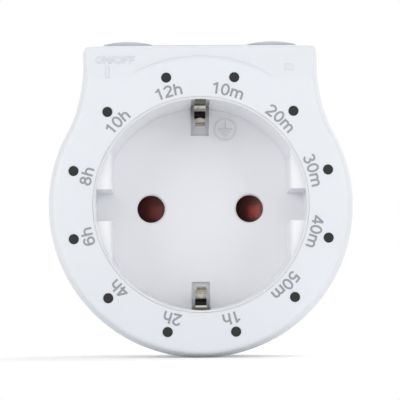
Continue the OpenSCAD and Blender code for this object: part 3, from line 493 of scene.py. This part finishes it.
def print_time(word, middle):
    """One time whose letters follow the ring, each turned to stand along its own radius."""
    bm = bmesh.new()
    angle_per_unit = LABEL_SIZE * LABEL_SPREAD / LABEL_R
    turn = middle - word_width(word) * angle_per_unit / 2
    for letter in word:
        half = GLYPHS[letter][0] * angle_per_unit / 2
        turn += half
        s, c = math.sin(turn), math.cos(turn)

        def place(u, v, height):
            u *= LABEL_SPREAD
            return ((LABEL_R + v) * s + u * c, FACE_Y - height, (LABEL_R + v) * c - u * s)

        for i, line in enumerate(letter_strokes(letter, LABEL_SIZE)):
            ribbon(bm, line, LABEL_STROKE, place, INK_SUNK, INK_PROUD + i * STROKE_STEP)
        turn += half
    piece(f"time_{word}", bm, INK)


for word, middle in TIMES:
    print_time(word, math.radians(middle))

# ---- Raised marks on the shoulder and the recess floor ----

SHOULDER_LEAN = math.atan2(1.47, 5.5)
SHOULDER_FOOT_Z = 23.5
SHOULDER_FOOT_DEPTH = 0.03
MARK_SUNK = -0.1
MARK_PROUD, BAR_PROUD, SIGN_PROUD = 0.1, 0.08, 0.09
ON_OFF_AT, ON_OFF_SIZE, ON_OFF_STROKE = (-15.9, 27.1), 2.0, 0.24
ON_BAR_AT, ON_BAR_W, ON_BAR_H = (-17.3, 24.8), 0.75, 2.2
TIMER_BAR_AT, TIMER_BAR_W, TIMER_BAR_H = (16.6, 25.6), 1.6, 1.3
RECESS_DEPTH = 17.5
EARTH_SIGN_AT, EARTH_SIGN_R, EARTH_SIGN_STROKE = (4.85, 15.3), 2.05, 0.26
EARTH_SIGN_LINES = [arc(0, 0, EARTH_SIGN_R, EARTH_SIGN_R, 0, 360), [(0, 1.5), (0, 0.1)],
                    [(-1.35, 0.1), (1.35, 0.1)], [(-0.85, -0.55), (0.85, -0.55)],
                    [(-0.4, -1.15), (0.4, -1.15)]]


def on_shoulder(x, z):
    """A placing function for marks centred at x, z on the leaning front of the shoulder."""
    s, c = math.sin(SHOULDER_LEAN), math.cos(SHOULDER_LEAN)
    depth = SHOULDER_FOOT_DEPTH + (z - SHOULDER_FOOT_Z) * math.tan(SHOULDER_LEAN)

    def place(u, v, height):
        return (x + u, FACE_Y + depth + v * s - height * c, z + v * c + height * s)
    return place


def on_recess_floor(u, v, height):
    """Places a point of the earth sign."""
    return (EARTH_SIGN_AT[0] + u, FACE_Y + RECESS_DEPTH - height, EARTH_SIGN_AT[1] + v)


def raised_word(name, word, size, stroke, place):
    bm = bmesh.new()
    x = -word_width(word) * size / 2
    for letter in word:
        half = GLYPHS[letter][0] * size / 2
        for i, line in enumerate(letter_strokes(letter, size, x + half)):
            ribbon(bm, line, stroke, place, MARK_SUNK, MARK_PROUD + i * STROKE_STEP)
        x += 2 * half
    piece(name, bm, WHITE)


def raised_lines(name, lines, stroke, place, proud, material):
    bm = bmesh.new()
    for i, line in enumerate(lines):
        ribbon(bm, line, stroke, place, MARK_SUNK, proud + i * STROKE_STEP)
    piece(name, bm, material)


def raised_bar(name, at, width, height):
    line = [(0, -height / 2), (0, height / 2)]
    raised_lines(name, [line], width, on_shoulder(*at), BAR_PROUD, WHITE)


raised_word("mark_on_off", "ON/OFF", ON_OFF_SIZE, ON_OFF_STROKE, on_shoulder(*ON_OFF_AT))
raised_bar("mark_on_bar", ON_BAR_AT, ON_BAR_W, ON_BAR_H)
raised_bar("mark_timer_bar", TIMER_BAR_AT, TIMER_BAR_W, TIMER_BAR_H)
raised_lines("earth_sign", EARTH_SIGN_LINES, EARTH_SIGN_STROKE, on_recess_floor, SIGN_PROUD,
             INSERT)

# ---- Earth clips: one bent strip each, with a sprung leaf, a bend, a back leg and a tongue ----

CLIP_T, CLIP_W = 0.34, 2.15
# Points of the strip's line, each with its depth and its distance from the axis (OUT)
LIP_DEPTH, LIP_OUT = 6.55, 15.62
NOSE_DEPTH, NOSE_OUT = 7.6, 15.24
LEAF_MID_DEPTH, LEAF_MID_OUT = 11, 15.75
LEAF_ROOT_DEPTH, LEAF_ROOT_OUT = 16.6, 17.35
CLIP_FLOOR, FLOOR_OUT = 18.45, LEAF_ROOT_OUT + 0.1
BACK_LEG_TIP, BACK_LEG_OUT = 8.4, 18.88
TONGUE_ROOT, TONGUE_TIP, TONGUE_OUT = BACK_LEG_TIP - 0.6, 0.9, 19.55
BEND_REACH, LINE_STEP, STRIP_COLUMNS = 0.9, 0.3, 8
LIP_TAPER, LIP_TAPER_LENGTH = 0.3, 4
DIMPLE_DEPTH, DIMPLE_R, DIMPLE_RISE = 14.0, 0.8, 0.6
# Where the strip's painted reflection and painted shade begin, and how softly
LIP_END, LIP_FADE = 7.75, 0.15
BEND_START, BEND_FADE = 16.0, 0.3
TONGUE_START, TONGUE_FADE = BACK_LEG_OUT + 0.2, 0.05


def clip_material():
    """Bright strip, with a painted olive reflection at its lip, painted dark shade on its tongue
    and near-black painted shade down in its bend.
    """
    n = Nodes("clip_plate")
    wander = n.maprange(n.noise(500, 4, 0.6), -PAINT_EDGE_WANDER, PAINT_EDGE_WANDER)
    depth = n.math("ADD", n.math("SUBTRACT", n.axis("Y"), FACE_Y), wander)
    lip = n.step(depth, LIP_END, LIP_FADE, below=1, above=0)
    bend = n.step(depth, BEND_START, BEND_FADE)
    tongue = n.step(n.math("ABSOLUTE", n.axis("Z")), TONGUE_START, TONGUE_FADE)
    plate = n.ramp(n.noise(300, 5, 0.6), [(0.35, (0.84, 0.80, 0.72)), (0.65, (0.92, 0.89, 0.83))])
    # The lip's olive band is a painted reflection; the tongue's dark grey is painted shade from the
    # slot's wall
    plate_with_painted_bands = n.mix(tongue, n.mix(lip, plate, (0.26, 0.235, 0.15)), (0.10, 0.10, 0.09))
    # Near black in the bend: painted shade of the deep fold
    n.link(n.mix(bend, plate_with_painted_bands, (0.012, 0.010, 0.009)), n.shader.inputs["Base Color"])
    n.link(n.maprange(n.math("ADD", bend, n.noise(700, 3)), 0.22, 0.6, (0.3, 1.5)),
           n.shader.inputs["Roughness"])
    n.link(n.math("MULTIPLY", n.math("SUBTRACT", 1.0, bend), 0.3), n.shader.inputs["Metallic"])
    n.bump(n.noise(5000, 3, 0.7), 0.1, 0.01, n.soft_edges(0.05))
    return n.mat


def rounded(points, radius, steps=6):
    """A path of straight runs with each inner corner turned into a smooth curve."""
    path = [Vector(points[0])]
    for a, b, c in zip(points, points[1:], points[2:]):
        a, b, c = Vector(a), Vector(b), Vector(c)
        reach = min(radius, (a - b).length / 2, (c - b).length / 2)
        start, end = b + (a - b).normalized() * reach, b + (c - b).normalized() * reach
        for i in range(steps + 1):
            t = i / steps
            path.append(start * (1 - t) ** 2 + b * 2 * t * (1 - t) + end * t ** 2)
    path.append(Vector(points[-1]))
    return path


def refined(path, step):
    """The same path with no piece longer than a step, and without doubled points."""
    fine = [path[0]]
    for a, b in zip(path, path[1:]):
        if (b - a).length > 1e-4:
            count = math.ceil((b - a).length / step)
            fine += [a.lerp(b, i / count) for i in range(1, count + 1)]
    return fine


def earth_clip(name, side):
    """Sweeps the strip's width along its line, with a nib pressed into the leaf."""
    line = refined(rounded([
        (LIP_DEPTH, LIP_OUT), (NOSE_DEPTH, NOSE_OUT), (LEAF_MID_DEPTH, LEAF_MID_OUT),
        (LEAF_ROOT_DEPTH, LEAF_ROOT_OUT), (CLIP_FLOOR, FLOOR_OUT), (CLIP_FLOOR, BACK_LEG_OUT),
        (BACK_LEG_TIP, BACK_LEG_OUT), (TONGUE_ROOT, TONGUE_OUT), (TONGUE_TIP, TONGUE_OUT)],
        BEND_REACH), LINE_STEP)
    bm = bmesh.new()
    rows = []
    for i, p in enumerate(line):
        along = (line[min(i + 1, len(line) - 1)] - line[max(i - 1, 0)]).normalized()
        out = Vector((-along.y, along.x))
        on_leaf = p.y < LEAF_ROOT_OUT + 0.05
        taper = max(0.0, 1 - (p.x - LIP_DEPTH) / LIP_TAPER_LENGTH) if on_leaf else 0
        width = CLIP_W - LIP_TAPER * taper
        ring = []
        for face in (1, -1):
            for j in range(STRIP_COLUMNS + 1):
                x = width * (j / STRIP_COLUMNS - 0.5) * face
                away = math.hypot(p.x - DIMPLE_DEPTH, x) / DIMPLE_R
                rise = DIMPLE_RISE * math.exp(-away ** 2) if on_leaf else 0
                q = p + out * (face * CLIP_T / 2 + rise)
                ring.append(bm.verts.new((x, FACE_Y + q.x, side * q.y)))
        rows.append(ring)
    solid(bm, rows)
    return piece(name, bm, CLIP)


POCKET_Z, POCKET_HALF_W = (15.4, 16.5), 1.3
POCKET_CLEAR, POCKET_CHAMFER = 0.05, 0.07
POCKET_BACK, POCKET_SHOULDER, POCKET_FLOOR = 19.6, 18.75, 18.68


def pocket_fill(name, side):
    """Thin chamfered floor where the strip leaves the pocket's opening free."""
    bm = bmesh.new()
    low, high = POCKET_Z
    rows = []
    for depth, inset in ((POCKET_BACK, POCKET_CLEAR), (POCKET_SHOULDER, POCKET_CLEAR),
                         (POCKET_FLOOR, POCKET_CLEAR + POCKET_CHAMFER)):
        w = POCKET_HALF_W - inset
        corners = [(-w, low + inset), (w, low + inset), (w, high - inset), (-w, high - inset)]
        rows.append([bm.verts.new((x, FACE_Y + depth, side * z)) for x, z in corners])
    solid(bm, rows)
    piece(name, bm, INSERT)


CLIP = clip_material()
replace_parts(earth_clip("clip_strip_top", 1), "earth_clip_top")
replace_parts(earth_clip("clip_strip_bottom", -1), "earth_clip_bottom")
pocket_fill("pocket_floor_top", 1)
pocket_fill("pocket_floor_bottom", -1)

# ---- Shutter's coil spring, built at one length, though the shutter's slide shortens it ----

SPRING_WIRE_R = 0.2
SPRING_TURNS = 8
SPRING_CLEAR = 0.02
SPRING_END_SQUEEZE = 0.05
WIRE_SIDES, STEPS_A_TURN = 10, 24


def coil_spring(name):
    """A helix along X whose end turns lie closer together than the middle ones."""
    low, high = (corner / MM for corner in map(Vector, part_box("shutter_spring")))
    start, end = low.x + SPRING_CLEAR, high.x - SPRING_CLEAR
    depth, radius = (low.y + high.y) / 2, (high.z - low.z) / 2 - SPRING_WIRE_R
    bm = bmesh.new()
    rows = []
    for i in range(SPRING_TURNS * STEPS_A_TURN + 1):
        t = i / (SPRING_TURNS * STEPS_A_TURN)
        turn = math.tau * SPRING_TURNS * t
        along = t - SPRING_END_SQUEEZE * math.sin(math.tau * t)
        x = start + SPRING_WIRE_R + (end - start - 2 * SPRING_WIRE_R) * along
        ring = []
        for j in range(WIRE_SIDES):
            a = math.tau * j / WIRE_SIDES
            r = radius + SPRING_WIRE_R * math.cos(a)
            ring.append(bm.verts.new((x + SPRING_WIRE_R * math.sin(a),
                                      depth + r * math.cos(turn), r * math.sin(turn))))
        rows.append(ring)
    solid(bm, rows)
    spring = piece(name, bm, STEEL)
    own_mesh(spring)
    return spring


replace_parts(coil_spring("spring_coil"), "shutter_spring")

# ---- Housing screws with thread, shank and cross recess ----

SCREW_SIDES = 36
SCREW_LOW_X = 12.1
SCREW_HEAD_R = 2.3
SHANK_R = 1.28
TIP_R, CORE_R, THREAD_R = 0.35, 0.8, 1.0
THREAD_PITCH = 0.5
SCREW_TIP, THREAD_START, THREAD_END, HEAD_SEAT, HEAD_TOP = 15.5, 16.5, 21.0, 24.52, 26.07
# The head's outline, as radii and as distances from its seat or from its top
HEAD_LOW = [(2.25, 0), (2.28, 0.08)]
HEAD_HIGH = [(2.28, -0.62), (2.15, -0.22), (1.8, 0)]
CROSS_REACH, CROSS_HALF_W, CROSS_NARROWING = 1.35, 0.4, 0.6
CROSS_BOTTOM = 25.2


def cross(reach, half):
    """Outline of a cross with equal arms."""
    return [(half, reach), (half, half), (reach, half), (reach, -half), (half, -half),
            (half, -reach), (-half, -reach), (-half, -half), (-reach, -half), (-reach, half),
            (-half, half), (-half, reach)]


def add_screw(bm, x, z):
    """A pan-head screw along the depth, turned from a profile, with its recess sunk in the head."""
    profile = [(TIP_R, SCREW_TIP), (CORE_R, THREAD_START)]
    depth = THREAD_START + THREAD_PITCH / 2
    while depth < THREAD_END - THREAD_PITCH:
        profile += [(THREAD_R, depth), (CORE_R, depth + THREAD_PITCH / 2)]
        depth += THREAD_PITCH
    profile += [(CORE_R, THREAD_END), (SHANK_R, THREAD_END + 0.1), (SHANK_R, HEAD_SEAT)]
    profile += [(r, HEAD_SEAT + d) for r, d in HEAD_LOW] + [(r, HEAD_TOP + d) for r, d in HEAD_HIGH]
    turns = [math.tau * i / SCREW_SIDES for i in range(SCREW_SIDES)]
    rows = [[bm.verts.new((x + r * math.cos(t), FACE_Y + d, z + r * math.sin(t))) for t in turns]
            for r, d in profile]
    skin(bm, rows)
    bm.faces.new(rows[0])
    recess = ((1, HEAD_TOP), (CROSS_NARROWING, CROSS_BOTTOM))
    rims = [[bm.verts.new((x + u, FACE_Y + d, z + v))
             for u, v in cross(CROSS_REACH * scale, CROSS_HALF_W * scale)] for scale, d in recess]
    skin(bm, rims)
    bm.faces.new(rims[1])
    edges = [bm.edges.get((ring[i - 1], ring[i]))
             for ring in (rows[-1], rims[0]) for i in range(len(ring))]
    bmesh.ops.triangle_fill(bm, use_beauty=True, edges=edges)


screw_low, screw_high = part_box("housing_screws")
screws = bmesh.new()
for side in (1, -1):
    add_screw(screws, side * (screw_high[0] / MM - SCREW_HEAD_R), screw_high[2] / MM - SCREW_HEAD_R)
    add_screw(screws, side * SCREW_LOW_X, screw_low[2] / MM + SCREW_HEAD_R)
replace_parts(piece("screw_set", screws, STEEL), "housing_screws")

# ---- Floor and surroundings ----

FLOOR_HALF = 3000
FLOOR_LIFT = 0.3
FLOOR_FADE = (70, 220)


def stage_material():
    """Pale matt floor with the object's shadow, which looks plain white further off."""
    n = Nodes("pale_floor")
    n.tree.nodes.remove(n.shader)
    seen = picture_ray(n.tree)
    diffuse = n.add("ShaderNodeBsdfDiffuse")
    n.link(n.ramp(n.noise(40), [(0, (0.87, 0.87, 0.87)), (1, (0.90, 0.90, 0.90))]),
           diffuse.inputs["Color"])
    lift, plain = n.add("ShaderNodeEmission"), n.add("ShaderNodeEmission")
    n.link(n.math("MULTIPLY", seen, FLOOR_LIFT), lift.inputs["Strength"])
    near = n.add("ShaderNodeAddShader")
    n.link(diffuse.outputs[0], near.inputs[0])
    n.link(lift.outputs[0], near.inputs[1])
    squares = [n.math("POWER", n.axis(name), 2.0) for name in ("X", "Y")]
    away = n.maprange(n.math("SQRT", n.math("ADD", *squares)), 0, 1, FLOOR_FADE)
    blend = n.add("ShaderNodeMixShader")
    n.link(n.math("MULTIPLY", seen, away), blend.inputs["Fac"])
    n.link(near.outputs[0], blend.inputs[1])
    n.link(plain.outputs[0], blend.inputs[2])
    n.link(blend.outputs[0], n.tree.nodes["Material Output"].inputs["Surface"])
    return n.mat


def world_light(base, sides, front, top_loss):
    """Pale surroundings, brighter in front and at the sides, that look plain white."""
    world = bpy.data.worlds.new("studio")
    bpy.context.scene.world = world
    world.use_nodes = True
    tree = world.node_tree
    way = tree.nodes.new("ShaderNodeSeparateXYZ")
    coords = tree.nodes.new("ShaderNodeTexCoord")
    tree.links.new(coords.outputs["Generated"], way.inputs[0])
    to_back, to_top = way.outputs["Y"], way.outputs["Z"]
    sideways = calc(tree, "SUBTRACT", 1.0,
                    calc(tree, "POWER", calc(tree, "ABSOLUTE", to_back), 2.0))
    forward = calc(tree, "MAXIMUM", calc(tree, "MULTIPLY", to_back, -1.0), 0.0)
    level = calc(tree, "ADD", calc(tree, "MULTIPLY", sideways, sides), base)
    level = calc(tree, "ADD", level,
                 calc(tree, "MULTIPLY", calc(tree, "POWER", forward, 4.0), front))
    level = calc(tree, "SUBTRACT", level, calc(tree, "MULTIPLY", to_top, top_loss))
    background = tree.nodes["Background"]
    background.inputs["Color"].default_value = (1, 1, 1, 1)
    tree.links.new(calc(tree, "MAXIMUM", level, picture_ray(tree)), background.inputs["Strength"])


bm = bmesh.new()
bmesh.ops.create_grid(bm, x_segments=2, y_segments=2, size=FLOOR_HALF)
bmesh.ops.translate(bm, vec=(0, 0, FLOOR_Z), verts=bm.verts)
new_object("floor", bm, stage_material())
world_light(base=0.36, sides=0.46, front=0.28, top_loss=0.22)

# ---- Lamps ----


def softbox(name, side, height, distance, size, level):
    """A soft lamp, its angles in degrees from the front, its distance and size in metres.

    Level 1 lights a surface that faces it like a white sky.
    """
    light = bpy.data.lights.new(name, "AREA")
    light.shape = "RECTANGLE"
    light.size, light.size_y = size
    light.energy = level * math.pi ** 2 * distance ** 2
    obj = bpy.data.objects.new(name, light)
    bpy.context.scene.collection.objects.link(obj)
    side, height = math.radians(side), math.radians(height)
    way = Vector((math.sin(side) * math.cos(height), -math.cos(side) * math.cos(height),
                  math.sin(height)))
    obj.location = mm(0, FACE_Y, 0) + way * distance
    obj.rotation_euler = (-way).to_track_quat("-Z", "Y").to_euler()


softbox("softbox_left", side=-44, height=13, distance=0.7, size=(0.45, 0.35), level=0.26)
softbox("softbox_right", side=42, height=9, distance=0.7, size=(0.45, 0.25), level=0.23)
softbox("softbox_back", side=150, height=50, distance=0.9, size=(0.5, 0.5), level=0.35)

# ---- Camera, slightly below and left of the face's axis, as in the photo ----

CAMERA_DISTANCE = 450
CAMERA_BELOW = math.radians(2.8)
CAMERA_LEFT = math.radians(0.5)
CAMERA_ROLL = math.radians(0.38)
CAMERA_AIM = (-0.19, 0, 0.80)
CAMERA_LENS = 218
CAMERA_SENSOR = 36
CAMERA_NEAR = 10

centre = mm(0, FACE_Y, 0)
toward_camera = Vector((-math.sin(CAMERA_LEFT) * math.cos(CAMERA_BELOW),
                        -math.cos(CAMERA_LEFT) * math.cos(CAMERA_BELOW),
                        -math.sin(CAMERA_BELOW)))
eye = centre + toward_camera * CAMERA_DISTANCE * MM
forward = (centre + mm(*CAMERA_AIM) - eye).normalized()
right = forward.cross(Vector((0, 0, 1))).normalized()
up = right.cross(forward)
right, up = (right * math.cos(CAMERA_ROLL) - up * math.sin(CAMERA_ROLL),
             up * math.cos(CAMERA_ROLL) + right * math.sin(CAMERA_ROLL))
camera_data = bpy.data.cameras.new("camera")
camera_data.lens = CAMERA_LENS
camera_data.sensor_width = CAMERA_SENSOR
camera_data.clip_start = CAMERA_NEAR * MM
camera = bpy.data.objects.new("camera", camera_data)
camera.matrix_world = Matrix((right, up, -forward)).transposed().to_4x4()
camera.location = eye
bpy.context.scene.collection.objects.link(camera)
bpy.context.scene.camera = camera
bpy.context.scene.view_settings.view_transform = "Standard"
